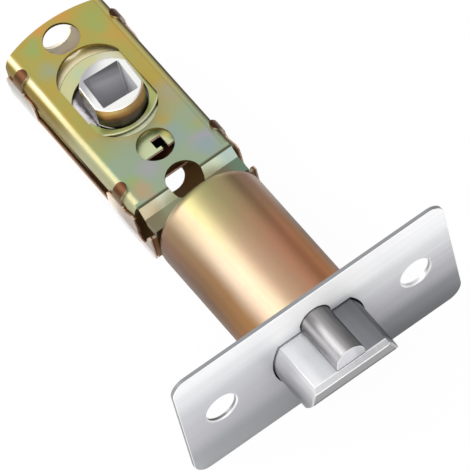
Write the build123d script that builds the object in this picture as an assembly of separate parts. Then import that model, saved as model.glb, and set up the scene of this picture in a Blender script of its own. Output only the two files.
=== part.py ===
from build123d import *
import os
from math import cos, radians, sin

os.makedirs("parts", exist_ok=True)

# Directions: +X out of the door edge along the barrel, +Y along the faceplate,
# +Z along the spindle. The origin is the middle of the faceplate's front face.

# Faceplate
plate_length = 57.15
plate_width = 28.58
plate_thick = 0.8
plate_corner = 3.0
plate_edge = 0.2
screw_spacing = 41.28
screw_hole = 3.1
hole_edge_break = 0.25

# Latch bolt
bolt_radius = 9.4
bolt_flat = 5.7
bolt_nose = 11.4
nose_chamfer = 0.92
nose_face_low = 2.3
nose_round = 0.4
nose_round_right = 1.0
bolt_edge = 0.15
bevel_end = 2.6
bolt_rear = -10.0
bolt_gap = 0.3
slot_gap = 0.05

# Deadlocking plunger, half round, lying on the flat of the bolt
plunger_half = 3.0
plunger_side = 0.35
plunger_low = 5.95
dome_rise = 0.7
plunger_edge = 0.2
plunger_front = 10.55
plunger_rear = -6.4
plunger_gap = 0.2
guide_gap = 0.12
rod_radius = 0.8
rod_fit = 0.08
rod_rise = 1.75
rod_seat = 3.0
rod_length = 14.4

# Barrel
tube_radius = 10.7
tube_wall = 0.6
tube_rear = -33.9
tube_shoulder = 2.2
mouth_half_width = 8.0
mouth_corner = 0.5

# Folded case
sheet = 0.6
case_half_height = 5.64
cover_half_width = 10.7
bend_radius = 1.9
side_gap = 0.03
flat_front = -38.7
ramp_drop = 1.52
neck_half_width = 9.9
neck_lip = 1.9
case_rear = -81.8
rear_arc = 26.6
cover_edge = 1.4
cover_side_front = -39.5
rear_corner = 3.2
joggle_gap = 0.05
wall_rear = -79.7
wall_join = 2.6
pad_top = 2.5
lug_top = 3.5
ear_top = 2.7
ear_lip_inner = 10.0
dip_low = -1.95
slit_low = -1.2
slit_rear = -70.2
slit_front = -48.1
tab_width = 2.4
tab_front = -44.3
tab_rear = -75.2
rear_wall_top = 1.35
rear_notch = 2.9
rear_notch_side = 0.75
rear_notch_high = 0.9

# Through passages and the spindle opening
passage_radius = 3.4
front_passage = -39.1
rear_passage = -77.1
window_radius = 3.45
window_at = -47.9
opening_at = -62.75
opening_half_length = 10.75
opening_half_width = 6.5
opening_end_radius = 6.8

# Hub
backset = 60.3
hub_radius = 5.65
hub_flat = 4.93
hub_half_height = 10.4
hub_turned = -3.6
spindle_square = 7.2
socket_corner = 0.3
hub_edge = 0.3
core_radius = 6.2
flange_radius = 8.2
flange_low = 3.5
flange_top = 4.15
arm_reach = 9.45
arm_tip = 1.2
arm_half_width = 0.6
arm_half_thick = 0.9
arm_angle = 37.5
hub_fit = 0.1

# Retractor
retractor_low = 2.5
retractor_thick = 0.7
leg_inner = 6.5
leg_outer = 9.8
lug_inner = 7.0
step_at = -42.2
front_leg_inner = 4.7
front_leg_outer = 7.5
retractor_front = -21.9
bridge_rear = -23.6
leg_rear = -66.5
lug_thick = 0.8
lug_low = -1.2
catch_low = -1.0

# Bolt tail and return spring
tail_half_thick = 0.6
tail_leg_inner = 3.6
tail_leg_outer = 5.2
tail_hook_outer = 7.2
tail_front = -3.5
tail_bridge = -6.5
tail_rear = -25.0
hook_thick = 1.1
pin_radius = 1.0
pin_low = -7.5
pin_top = 5.4
spring_radius = 1.9
spring_wire = 0.6
spring_seat_thick = 0.8
seat_half_width = 2.9
seat_low = -6.2
seat_top = 2.2

# Rod guide, plunger spring and blocking lever
guide_rear = -20.2
guide_front = -19.4
plunger_wire = 0.4
lever_x = -28.6
lever_z = 5.7
lever_y0 = 2.1
lever_y1 = 3.1
lever_gap = 0.3
lever_pin_radius = 0.7
lever_tip = -18.6
bracket_sheet = 0.7
bracket_front = -27.2
cheek = 3.4
bracket_top = 7.3

# Inner plates and discs
plate_low = 3.7
plate_rear = -74.8
plate_front = -47.2
pad_half = 1.1
notch_side = 2.1
disc_past_arms = 0.2
disc_shift = 2.1
disc_ring = 1.0

# Cutting shapes run past the faces they cut
past = 1.0


def along_x(profile, start, end):
    return extrude(Plane.YZ.offset(start) * profile, end - start)


def along_y(profile, start, end):
    return extrude(Plane.XZ.offset(-end) * profile, end - start)


def along_z(profile, start, end):
    return extrude(Plane.XY.offset(start) * profile, end - start)


def block(x0, x1, y0, y1, z0, z1):
    middle = ((x0 + x1) / 2, (y0 + y1) / 2, (z0 + z1) / 2)
    return Pos(*middle) * Box(x1 - x0, y1 - y0, z1 - z0)


# The same block on one side of the middle plane, given as distances from it
def side_block(side, x0, x1, inner, outer, z0, z1):
    y0, y1 = sorted((side * inner, side * outer))
    return block(x0, x1, y0, y1, z0, z1)


def rod_x(radius, start, end, y=0.0, z=0.0):
    return along_x(Pos(y, z) * Circle(radius), start, end)


def rod_z(radius, start, end, x=0.0, y=0.0):
    return along_z(Pos(x, y) * Circle(radius), start, end)


def rod_y(radius, start, end, x=0.0, z=0.0):
    return along_y(Pos(x, z) * Circle(radius), start, end)


def polygon(points):
    return make_face(Polyline(*points, close=True))


# Everything above a line across the barrel, wide enough for any outline in it
def half_above(level):
    return Pos(0, level + plate_length / 2) * Rectangle(plate_length, plate_length)


def flipped(solid):
    return mirror(solid, about=Plane.XY)


def one(shape):
    solids = shape.solids()
    if len(solids) == 1:
        return solids[0]
    return Compound(children=solids)


def coil(radius, wire, start, end, turns, y=0.0, z=0.0):
    pitch = (end - start - wire) / turns
    path = Helix(pitch, pitch * turns, radius)
    section = Plane(path @ 0, z_dir=path % 0) * Circle(wire / 2)
    spring = sweep(section, path, is_frenet=True)
    return Pos(start + wire / 2, y, z) * Rot(0, 90, 0) * spring


# Bolt outline in the plate's plane, grown by a gap for the cut-outs
def bolt_outline(gap=0.0):
    return Circle(bolt_radius + gap) - half_above(bolt_flat + gap)


def plunger_outline(gap=0.0):
    half = plunger_half + gap
    centre = plunger_low + dome_rise
    low = plunger_low - gap
    dome = Pos(plunger_side, centre) * Circle(half)
    sides = Pos(plunger_side, (low + centre) / 2) * Rectangle(2 * half, centre - low)
    return (dome & half_above(low)) + sides


# Faceplate with its two screw holes and the opening for bolt and plunger
faceplate = along_x(RectangleRounded(plate_length, plate_width, plate_corner), -plate_thick, 0)
front_rim = faceplate.edges().group_by(Axis.X)[-1]
faceplate = fillet(front_rim, plate_edge)
for side in (-1, 1):
    faceplate -= rod_x(screw_hole, -plate_thick - past, past, y=side * screw_spacing / 2)
faceplate -= along_x(bolt_outline(bolt_gap), -plate_thick - past, past)
faceplate -= along_x(plunger_outline(plunger_gap), -plate_thick - past, past)
rims = faceplate.edges().filter_by(GeomType.CIRCLE)
rims = [e for e in rims if abs(e.radius - screw_hole) < 0.01 and e.center().X > -0.01]
faceplate = chamfer(rims, hole_edge_break)

# Barrel, a drawn cup with a wide mouth in its rear wall
bore_radius = tube_radius - tube_wall
tube_inside = tube_rear + tube_wall
barrel = rod_x(tube_radius, tube_rear, -plate_thick)
barrel = fillet(barrel.edges().group_by(Axis.X)[0], tube_shoulder)
bore = rod_x(bore_radius, tube_inside, 0)
bore = fillet(bore.edges().group_by(Axis.X)[0], tube_shoulder - tube_wall)
neck_top = case_half_height - ramp_drop
mouth = RectangleRounded(2 * mouth_half_width, 2 * neck_top, mouth_corner)
front_tube = barrel - bore
front_tube -= along_x(mouth, tube_rear - past, tube_inside + past)

# Latch bolt: round with one flat, bevelled below, its nose edge broken
bolt = along_x(bolt_outline(), bolt_rear, bolt_nose)
slope = (bolt_nose - bevel_end) / (nose_face_low + bolt_radius)
bevel = polygon([
    (bolt_nose + past, nose_face_low + past / slope),
    (bolt_nose + past, -bolt_radius - past),
    (bevel_end - slope * past, -bolt_radius - past),
    (bolt_nose, nose_face_low),
])
nose = polygon([
    (bolt_nose - nose_chamfer - past, bolt_flat + past),
    (bolt_nose + past, bolt_flat - nose_chamfer - past),
    (bolt_nose + past, bolt_flat + past),
])
bolt -= along_y(bevel, -bolt_radius - past, bolt_radius + past)
for side, size in ((-1, nose_round), (1, nose_round_right)):
    arcs = bolt.edges().group_by(Axis.X)[-1].filter_by(GeomType.CIRCLE)
    bolt = fillet([e for e in arcs if side * e.center().Y > 0], size)
bolt -= along_y(nose, -bolt_radius - past, bolt_radius + past)
flat_sides = bolt.edges().filter_by(Axis.X).group_by(Axis.Z)[-1]
bolt = fillet(flat_sides, bolt_edge)
slot_half = tail_leg_outer + slot_gap
slot_thick = tail_half_thick + slot_gap
bolt -= block(bolt_rear - past, tail_front + slot_gap, -slot_half, slot_half,
              -slot_thick, slot_thick)
bolt -= rod_x(spring_radius + spring_wire, bolt_rear - past, tail_bridge)
tail_pin_x = (tail_front + tail_bridge) / 2
bolt -= rod_z(pin_radius, pin_low, bolt_flat + past, x=tail_pin_x)
latch_bolt = bolt

# Flat U-shaped tail held in the bolt's slot by a cross pin
tail = block(tail_bridge, tail_front, -tail_leg_outer, tail_leg_outer,
             -tail_half_thick, tail_half_thick)
for side in (-1, 1):
    tail += side_block(side, tail_rear, tail_bridge, tail_leg_inner, tail_leg_outer,
                       -tail_half_thick, tail_half_thick)
    tail += side_block(side, tail_rear, tail_rear + hook_thick, tail_leg_inner,
                       tail_hook_outer, -tail_half_thick, tail_half_thick)
tail -= rod_z(pin_radius, pin_low, pin_top, x=tail_pin_x)
bolt_tail = tail
tail_pin = rod_z(pin_radius, pin_low, pin_top, x=tail_pin_x)

# Return spring between the tail's bridge and a strip at the barrel's mouth
seat_front = tube_inside + spring_seat_thick
bolt_spring = coil(spring_radius, spring_wire, seat_front, tail_bridge, 10)
seat = block(tube_inside, seat_front, -seat_half_width, seat_half_width, seat_low, seat_top)
seat_top_edges = seat.edges().filter_by(Axis.X).group_by(Axis.Z)[-1]
spring_seat = fillet(seat_top_edges, seat_half_width / 2)

# Bush behind the faceplate: a thin ring whose upper segment guides the plunger
# and keeps the bolt upright
bush_profile = Circle(bore_radius) - bolt_outline(bolt_gap) - plunger_outline(guide_gap)
guide_bush = along_x(bush_profile, plunger_rear, -plate_thick)

# Plunger with its rod
rod_z_at = plunger_low + rod_rise
rod_rear = plunger_rear - rod_length
rod_front = plunger_rear + rod_seat
plunger = along_x(plunger_outline(), plunger_rear, plunger_front)
plunger = fillet(plunger.edges().group_by(Axis.X)[-1], plunger_edge)
plunger -= rod_x(rod_radius, plunger_rear - past, rod_front, y=plunger_side, z=rod_z_at)
plunger_rod = rod_x(rod_radius, rod_rear, rod_front, y=plunger_side, z=rod_z_at)

# Rod guide: a segment across the barrel above the bolt's path
segment = Circle(bore_radius) & half_above(plunger_low)
slot_low = plunger_low - past
slot_top = rod_z_at + lever_gap
rod_guide = along_x(segment, guide_rear, guide_front)
rod_guide -= rod_x(rod_radius + rod_fit, guide_rear - past, guide_front + past,
                   y=plunger_side, z=rod_z_at)
rod_guide -= block(guide_rear - past, guide_front + past, lever_y0 - lever_gap,
                   lever_y1 + lever_gap, slot_low, slot_top)
plunger_spring = coil(rod_radius + 1.25 * plunger_wire, plunger_wire, guide_front,
                      plunger_rear, 6, y=plunger_side, z=rod_z_at)

# Blocking lever on its pin, in a bracket at the back of the barrel
arm_low = plunger_low + rod_rise / 5
arm_top = plunger_low + rod_rise * 0.9
neck_x = guide_rear - 1.5 * bracket_sheet
lever_shape = polygon([
    (lever_x - 1.8 * lever_pin_radius, lever_z - 0.8 * lever_pin_radius),
    (lever_x + 2 * lever_pin_radius, lever_z - 1.3 * lever_pin_radius),
    (neck_x, arm_low),
    (lever_tip, arm_low),
    (lever_tip, rod_z_at - 0.7 * rod_radius),
    (neck_x, arm_top),
    (lever_x, lever_z + 2 * lever_pin_radius),
    (lever_x - 1.8 * lever_pin_radius, lever_z + 1.3 * lever_pin_radius),
])
blocking_lever = along_y(lever_shape, lever_y0, lever_y1)
blocking_lever -= rod_y(lever_pin_radius + rod_fit, lever_y0 - past, lever_y1 + past,
                        x=lever_x, z=lever_z)
bracket_half = cheek + bracket_sheet
bracket_low = neck_top + rod_fit * 2.5
lever_pin = rod_y(lever_pin_radius, -bracket_half, bracket_half, x=lever_x, z=lever_z)
bracket = block(tube_inside, tube_inside + bracket_sheet, -bracket_half, bracket_half,
                bracket_low, bracket_top)
for side in (-1, 1):
    bracket += side_block(side, tube_inside, bracket_front, cheek, bracket_half,
                          bracket_low, bracket_top)
lever_bracket = bracket - lever_pin


# Case halves. One rounded channel outline serves both
def channel(half_width, edge):
    clear_top = case_half_height - sheet
    low = edge - past
    outer = Pos(0, (case_half_height + edge) / 2) * Rectangle(
        2 * half_width, case_half_height - edge)
    outer = fillet(outer.vertices().group_by(Axis.Y)[-1], bend_radius)
    inner = Pos(0, (clear_top + low) / 2) * Rectangle(2 * (half_width - sheet), clear_top - low)
    inner = fillet(inner.vertices().group_by(Axis.Y)[-1], bend_radius - sheet)
    return outer - inner


# Outline seen from above: bowed rear end with rounded corners
def plan(half_width):
    length = past - case_rear
    box = Pos(-length / 2, 0) * Rectangle(length, 2 * half_width)
    rounded = fillet(box.vertices().group_by(Axis.X)[0], rear_corner)
    return rounded & (Pos(case_rear + rear_arc, 0) * Circle(rear_arc))


def opening_outline():
    reach = opening_half_length - opening_end_radius
    shape = Rectangle(2 * reach, 2 * opening_half_width)
    for side in (-1, 1):
        shape += Pos(side * reach, 0) * Circle(opening_end_radius)
    return shape & Rectangle(4 * opening_half_length, 2 * opening_half_width)


def holes(z0, z1):
    cut = rod_z(passage_radius, z0, z1, x=front_passage)
    cut += rod_z(passage_radius, z0, z1, x=rear_passage)
    cut += rod_z(window_radius, z0, z1, x=window_at)
    cut += along_z(Pos(opening_at, 0) * opening_outline(), z0, z1)
    return cut


# Joggled neck that steps down from the flat and hooks inside the barrel's mouth
def neck():
    top = case_half_height
    under = sheet * 0.414
    foot = flat_front + ramp_drop
    start = cover_side_front - past / 2
    hook_x = tube_inside + joggle_gap
    tongue = mouth_half_width - bracket_sheet
    hook_middle = (3 * tongue + cheek) / 4
    strip = polygon([
        (start, top),
        (flat_front, top),
        (foot, neck_top),
        (tube_rear, neck_top),
        (tube_rear, neck_top - sheet),
        (foot - under, neck_top - sheet),
        (flat_front - under, top - sheet),
        (start, top - sheet),
    ])
    body = along_y(strip, -neck_half_width, neck_half_width)
    for side in (-1, 1):
        body += side_block(side, foot, tube_rear - joggle_gap, neck_half_width - sheet,
                           neck_half_width, neck_top - neck_lip, neck_top)
        body += side_block(side, tube_rear - joggle_gap, hook_x + sheet, cheek + joggle_gap,
                           tongue, neck_top - sheet, neck_top)
        body += side_block(side, hook_x, hook_x + sheet, hook_middle - 2 * sheet,
                           tongue, neck_top - sheet, neck_top + 1.3 * sheet)
    return body


wide = case_half_height + past
cover = along_x(channel(cover_half_width, cover_edge), case_rear - past, cover_side_front)
cover = cover & along_z(plan(cover_half_width), -wide, wide)
bend_start = case_half_height - bend_radius
slant = polygon([
    (cover_side_front + past, bend_start),
    (cover_side_front, bend_start),
    (cover_side_front - 2.5 * sheet, cover_edge - past / 10),
    (cover_side_front + past, cover_edge - past / 10),
])
for side in (-1, 1):
    skin = sorted((side * (neck_half_width + sheet / 6), side * (cover_half_width + past)))
    cover -= along_y(slant, skin[0], skin[1])
cover += neck()
cover -= holes(0, wide)
case_cover = cover

# Base half: the same shape turned over, wider by the sheet, with side walls,
# four crimped tabs, two ears at the barrel and a low rear wall with a notch
base_half_width = cover_half_width + side_gap + sheet
base = flipped(along_x(channel(base_half_width, wall_join), case_rear - past, cover_side_front))
side_wall = polygon([
    (wall_rear, -wall_join),
    (wall_rear, pad_top - 1.3),
    (wall_rear + 1.2, pad_top),
    (slit_rear - 0.9, pad_top),
    (slit_rear - 0.2, pad_top - 0.8),
    (slit_rear, slit_low),
    (slit_front, slit_low),
    (slit_front + 0.2, pad_top - 0.8),
    (slit_front + 0.9, pad_top),
    (cover_side_front - 2.6, pad_top),
    (cover_side_front - 0.4, lug_top),
    (cover_side_front + 0.5, lug_top - 0.2),
    (cover_side_front + 0.75, lug_top - 2.4),
    (cover_side_front + 0.7, dip_low + 0.9),
    (cover_side_front + 1.4, dip_low),
    (cover_side_front + 2.3, dip_low + 0.25),
    (cover_side_front + 3.4, dip_low + 1.7),
    (tube_rear - 1.3, ear_top - 0.7),
    (tube_rear - 0.8, ear_top),
    (tube_rear - joggle_gap, ear_top),
    (tube_rear - joggle_gap, -wall_join - 0.6),
    (tube_rear - past, -wall_join - 1.1),
    (cover_side_front - past, -wall_join - 1.14),
    (wall_rear + past, -wall_join - 1.14),
])
for side in (-1, 1):
    skin = sorted((side * (base_half_width - sheet), side * base_half_width))
    base += along_y(side_wall, skin[0], skin[1])
    base += side_block(side, tube_rear - joggle_gap - sheet, tube_rear - joggle_gap,
                       ear_lip_inner, base_half_width, -wall_join - 0.6, ear_top)
base = base & along_z(plan(base_half_width), -wide, wide)
base += flipped(neck())


# Tab: a tongue that rises from the side wall and closes over the cover's bend
def tab(at, side, reach_in):
    centre_y = cover_half_width - bend_radius
    centre_z = case_half_height - bend_radius
    inner = bend_radius + side_gap
    outer = inner + sheet
    half = tab_width / 2
    ring = Pos(centre_y, centre_z) * (Circle(outer) - Circle(inner))
    quarter = Pos(centre_y + outer / 2, centre_z + outer / 2) * Rectangle(outer, outer)
    rise = centre_z - cover_edge
    stem = Pos(centre_y + inner + sheet / 2, centre_z - rise / 2) * Rectangle(sheet, rise)
    tongue = along_x((ring & quarter) + stem, at - half, at + half)
    crown = centre_y + reach_in + half
    reach = Pos(at, crown) * Circle(half)
    reach += Pos(at, crown + base_half_width / 2) * Rectangle(tab_width, base_half_width)
    tongue = tongue & along_z(reach, 0, wide + sheet)
    foot = Pos(at, pad_top) * Rectangle(tab_width * 1.5, sheet * 1.4)
    foot = fillet(foot.vertices().group_by(Axis.Y)[-1], sheet * 0.95)
    tongue += along_y(foot, centre_y + inner, centre_y + outer)
    if side < 0:
        tongue = mirror(tongue, about=Plane.XZ)
    return tongue


for at in (tab_front, tab_rear):
    base += tab(at, -1, 0.0)
    base += tab(at, 1, sheet)
wall_ring = Circle(rear_arc) - Circle(rear_arc - sheet)
wall_ring = Pos(case_rear + rear_arc, 0) * wall_ring
wall_half = cover_half_width - bend_radius - side_gap
wall_box = Pos(case_rear, 0) * Rectangle(2 * rear_corner, 2 * wall_half)
rear_wall = along_z(wall_ring & wall_box, -case_half_height, rear_wall_top)
rear_wall -= rod_x(rear_notch, case_rear - past, case_rear + rear_corner,
                   y=rear_notch_side, z=rear_notch_high)
base += rear_wall
base -= holes(-wide, -bend_start + sheet)
case_base = base


# Inner plate under the cover: a strip round the hub with pads that stand on the case
def inner_plate():
    length = plate_front - plate_rear
    middle = (plate_front + plate_rear) / 2
    half = cover_half_width - sheet - plunger_gap
    strip = along_z(Pos(middle, 0) * Rectangle(length, 2 * half), plate_low, plate_low + sheet)
    strip -= rod_z(flange_radius + hub_fit, 0, wide, x=-backset)
    strip -= rod_z(passage_radius, 0, wide, x=rear_passage)
    pad = half - 2 * pad_half
    for x in (plate_rear + pad_half + side_gap, plate_front - pad_half - side_gap):
        for side in (-1, 1):
            strip += side_block(side, x - pad_half, x + pad_half, pad - 0.9, pad + 0.9,
                                plate_low, case_half_height - sheet)
    return strip


notch_front = plate_front - sheet
notch_rear = notch_front - notch_side
upper = inner_plate()
upper -= block(notch_rear, notch_front, -slot_gap, notch_side - slot_gap, 0, wide)
upper -= block(notch_rear, plate_front + past, notch_side - 2 * sheet, notch_side - slot_gap,
               0, wide)
inner_plate_upper = upper
inner_plate_lower = flipped(inner_plate())

# Disc just under the case wall, wide enough to cover the hub's arms, with an
# opening round the hub's boss
disc_at = -backset - disc_shift
disc_radius = arm_reach * cos(radians(arm_angle)) + arm_tip + disc_past_arms
disc_slot = disc_radius - disc_ring


def disc(with_notch):
    body = rod_z(disc_radius, case_half_height - 2 * sheet, case_half_height - sheet, x=disc_at)
    body -= rod_z(hub_radius + bolt_gap, 0, wide, x=-backset)
    if with_notch:
        corners = [(0, 0)]
        for angle in (195, 222, 250, 278):
            turn = radians(angle)
            corners.append((2 * disc_slot * cos(turn), 2 * disc_slot * sin(turn)))
        sector = polygon(corners) & Circle(disc_slot)
        body -= along_z(Pos(-backset, 0) * sector, 0, wide)
    return body


disc_upper = disc(True)
disc_lower = flipped(disc(False))

# Hub: boss with the square spindle hole, two flanges and two cam arms
boss = Circle(hub_radius) & Rectangle(4 * hub_radius, 2 * hub_flat)
body = along_z(boss, -hub_half_height, hub_half_height)
rims = body.edges().group_by(Axis.Z)
body = fillet(list(rims[0]) + list(rims[-1]), hub_edge)
body = Rot(0, 0, hub_turned) * body
body += rod_z(core_radius, -flange_low, flange_low)
for side in (-1, 1):
    ends = sorted((side * flange_low, side * flange_top))
    body += rod_z(flange_radius, ends[0], ends[1])
    arm = Pos(arm_reach / 2, 0) * Rectangle(arm_reach, 2 * arm_half_width)
    arm += Pos(arm_reach, 0) * Circle(arm_tip)
    turn = Rot(0, 0, side * (90 - arm_angle))
    body += along_z(turn * arm, -arm_half_thick, arm_half_thick)
socket = RectangleRounded(spindle_square, spindle_square, socket_corner)
body -= Rot(0, 0, hub_turned) * along_z(socket, -2 * hub_half_height, 2 * hub_half_height)
hub = Pos(-backset, 0, 0) * body

# Retractor: a flat U above the bolt's tail with lugs behind the hub's arms
# and lugs before the tail's hooks
top = retractor_low + retractor_thick
arm_x = -backset + arm_reach * sin(radians(arm_angle))
lug_front = arm_x - arm_tip - plunger_gap
frame = block(bridge_rear, retractor_front, -front_leg_outer, front_leg_outer, retractor_low, top)
for side in (-1, 1):
    frame += side_block(side, step_at, retractor_front, front_leg_inner, front_leg_outer,
                        retractor_low, top)
    frame += side_block(side, leg_rear, step_at + 2 * lug_thick, leg_inner, leg_outer,
                        retractor_low, top)
    frame += side_block(side, lug_front - lug_thick, lug_front, lug_inner, leg_outer,
                        lug_low, top)
    frame += side_block(side, bridge_rear, bridge_rear + retractor_thick,
                        tail_leg_outer + bolt_gap, front_leg_outer, catch_low, top)
retractor = frame

nodes = {
    "faceplate": faceplate,
    "front_tube": front_tube,
    "guide_bush": guide_bush,
    "latch_bolt": latch_bolt,
    "bolt_tail": bolt_tail,
    "tail_pin": tail_pin,
    "bolt_spring": bolt_spring,
    "spring_seat": spring_seat,
    "plunger": plunger,
    "plunger_rod": plunger_rod,
    "plunger_spring": plunger_spring,
    "rod_guide": rod_guide,
    "lever_bracket": lever_bracket,
    "blocking_lever": blocking_lever,
    "lever_pin": lever_pin,
    "retractor": retractor,
    "case_cover": case_cover,
    "case_base": case_base,
    "inner_plate_upper": inner_plate_upper,
    "inner_plate_lower": inner_plate_lower,
    "disc_upper": disc_upper,
    "disc_lower": disc_lower,
    "hub": hub,
}
for name, shape in nodes.items():
    piece = one(shape)
    print(name, len(shape.solids()), piece.is_valid)
    export_step(piece, "parts/" + name + ".step")
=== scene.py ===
from math import cos, pi, sin

import bpy
from mathutils import Matrix, Vector


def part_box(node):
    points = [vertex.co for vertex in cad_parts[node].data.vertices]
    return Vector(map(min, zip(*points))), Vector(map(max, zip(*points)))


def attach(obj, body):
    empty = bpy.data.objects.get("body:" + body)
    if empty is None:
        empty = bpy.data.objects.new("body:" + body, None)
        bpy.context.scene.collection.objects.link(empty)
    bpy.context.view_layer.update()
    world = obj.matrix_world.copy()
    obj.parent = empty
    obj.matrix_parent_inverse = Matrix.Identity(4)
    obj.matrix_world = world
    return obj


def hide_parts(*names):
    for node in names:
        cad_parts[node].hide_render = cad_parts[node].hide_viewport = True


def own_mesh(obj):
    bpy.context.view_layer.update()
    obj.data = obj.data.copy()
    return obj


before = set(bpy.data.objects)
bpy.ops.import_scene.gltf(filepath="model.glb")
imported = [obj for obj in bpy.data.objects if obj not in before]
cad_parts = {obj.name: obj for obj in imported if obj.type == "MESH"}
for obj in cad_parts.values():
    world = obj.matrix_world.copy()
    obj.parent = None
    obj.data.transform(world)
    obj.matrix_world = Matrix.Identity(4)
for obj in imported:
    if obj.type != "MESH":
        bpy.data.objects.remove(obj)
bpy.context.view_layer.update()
print("frame loaded")

# What every material shares: a screen's colour curve, millimetres in a metre, the depth of
# the bumps in metres, and white light
screenCurve = {"full": 255, "knee": 0.04045, "slope": 12.92, "lift": 0.055, "power": 2.4}
perMetre = 1000.0
bumpDepth = 0.00003
whiteLight = (1.0, 1.0, 1.0, 1.0)


# A colour as read off a screen, from 0 to 255
def tint(red, green, blue):
    parts = []
    for part in (red, green, blue):
        part = part / screenCurve["full"]
        if part <= screenCurve["knee"]:
            parts.append(part / screenCurve["slope"])
        else:
            lifted = (part + screenCurve["lift"]) / (1 + screenCurve["lift"])
            parts.append(lifted ** screenCurve["power"])
    return (parts[0], parts[1], parts[2], 1.0)


# A socket that can be used in plain arithmetic
class Wire:
    def __init__(self, graph, socket):
        self.graph = graph
        self.socket = socket

    def combine(self, operation, *terms):
        return self.graph.node("ShaderNodeMath", {"operation": operation}, dict(enumerate(terms)))

    def __add__(self, other):
        return self.combine("ADD", self, other)

    def __radd__(self, other):
        return self.combine("ADD", other, self)

    def __sub__(self, other):
        return self.combine("SUBTRACT", self, other)

    def __rsub__(self, other):
        return self.combine("SUBTRACT", other, self)

    def __mul__(self, other):
        return self.combine("MULTIPLY", self, other)

    def __rmul__(self, other):
        return self.combine("MULTIPLY", other, self)

    def __truediv__(self, other):
        return self.combine("DIVIDE", self, other)

    def __abs__(self):
        return self.combine("ABSOLUTE", self)

    def root(self):
        return self.combine("POWER", self, 0.5)

    def above(self, other):
        return self.combine("MAXIMUM", self, other)

    def below(self, other):
        return self.combine("MINIMUM", self, other)

    # 0 where the span starts, 1 where it ends, smooth between
    def ramp(self, span):
        start, end = span
        step = ((self - start) / (end - start)).above(0.0).below(1.0)
        return step * step * (3.0 - 2.0 * step)

    # 1 where the span starts, 0 where it ends
    def fall(self, span):
        return 1.0 - self.ramp(span)

    # 1 about a centre, falling over a span of distances from it
    def near(self, centre, span):
        return abs(self - centre).fall(span)


class Graph:
    def __init__(self, tree):
        self.tree = tree
        tree.nodes.clear()

    def feed(self, socket, value):
        if isinstance(value, Wire):
            self.tree.links.new(value.socket, socket)
        else:
            socket.default_value = value

    # Adds one node and gives back the socket named by output, if any
    def node(self, kind, settings=None, values=None, output=0):
        made = self.tree.nodes.new(kind)
        for name, value in (settings or {}).items():
            setattr(made, name, value)
        for name, value in (values or {}).items():
            self.feed(made.inputs[name], value)
        if output is not None:
            return Wire(self, made.outputs[output])

    # The colour sockets of a Mix node are inputs 6 and 7 and output 2
    def mix(self, factor, first, second):
        settings = {"data_type": "RGBA", "blend_type": "MIX"}
        return self.node("ShaderNodeMix", settings, {0: factor, 6: first, 7: second}, 2)

    # Lays a layer, which is a colour and its strength, over another colour
    def over(self, colour, mask, layer):
        tone, strength = layer
        return self.mix(mask * strength, colour, tone)

    def vector(self, operation, first, second, output=0):
        return self.node("ShaderNodeVectorMath", {"operation": operation}, {0: first, 1: second},
                         output)

    def place(self):
        return self.node("ShaderNodeTexCoord", output="Object")

    # Millimetres along the X, Y or Z axis
    def along(self, axis):
        return self.node("ShaderNodeSeparateXYZ", None, {0: self.place()}, axis) * perMetre

    # 1 where the face looks along the X, Y or Z axis, 0 where it looks across it
    def facing(self, axis):
        normal = self.node("ShaderNodeNewGeometry", output="Normal")
        return abs(self.node("ShaderNodeSeparateXYZ", None, {0: normal}, axis))

    def noise(self, place, scale, detail=3.0, rough=0.6, warp=0.0):
        values = {"Vector": place, "Scale": scale, "Detail": detail, "Roughness": rough,
                  "Distortion": warp}
        return self.node("ShaderNodeTexNoise", None, values)

    # Noise with a scale of its own along each axis, as brushing leaves it
    def brushed(self, place, scales, detail=3.0, rough=0.6):
        return self.noise(self.vector("MULTIPLY", place, scales), 1.0, detail, rough)

    # Broad soft noise about 0
    def drift(self, place, scale, warp=0.0):
        return self.noise(place, scale, 2.0, 0.5, warp) - 0.5

    # Colours one after another along a value
    def stops(self, value, steps):
        colour = steps[0][1]
        for before, after in zip(steps, steps[1:]):
            colour = self.mix(value.ramp((before[0], after[0])), colour, after[1])
        return colour

    def distance(self, x, y, middle):
        acrossX = x - middle[0]
        acrossY = y - middle[1]
        return (acrossX * acrossX + acrossY * acrossY).root()

    # Soft round patches: each is a tone's name, its middle, its reach and its strength
    def patches(self, colour, look, x, y, patches):
        for name, middle, reach, strength in patches:
            mask = self.distance(x, y, middle).fall((0.0, reach))
            colour = self.over(colour, mask, (look[name], strength))
        return colour


def material(name):
    made = bpy.data.materials.new(name)
    made.use_nodes = True
    return made, Graph(made.node_tree)


# Roughness that follows the grain
def gritty(look, grain):
    return look["rough"] + (grain - 0.5) * look["grit"]


# Ends a graph in one metal surface, with the grain as its bumps
def surface(graph, colour, rough, grain, bump, metal=1.0):
    heights = {"Height": grain, "Strength": bump, "Distance": bumpDepth}
    values = {"Base Color": colour, "Roughness": rough, "Metallic": metal,
              "Normal": graph.node("ShaderNodeBump", None, heights)}
    shader = graph.node("ShaderNodeBsdfPrincipled", None, values)
    graph.node("ShaderNodeOutputMaterial", None, {"Surface": shader}, None)


def paint(node, made):
    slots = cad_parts[node].data.materials
    for index in range(len(slots)):
        slots[index] = made
    if not slots:
        slots.append(made)
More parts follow.
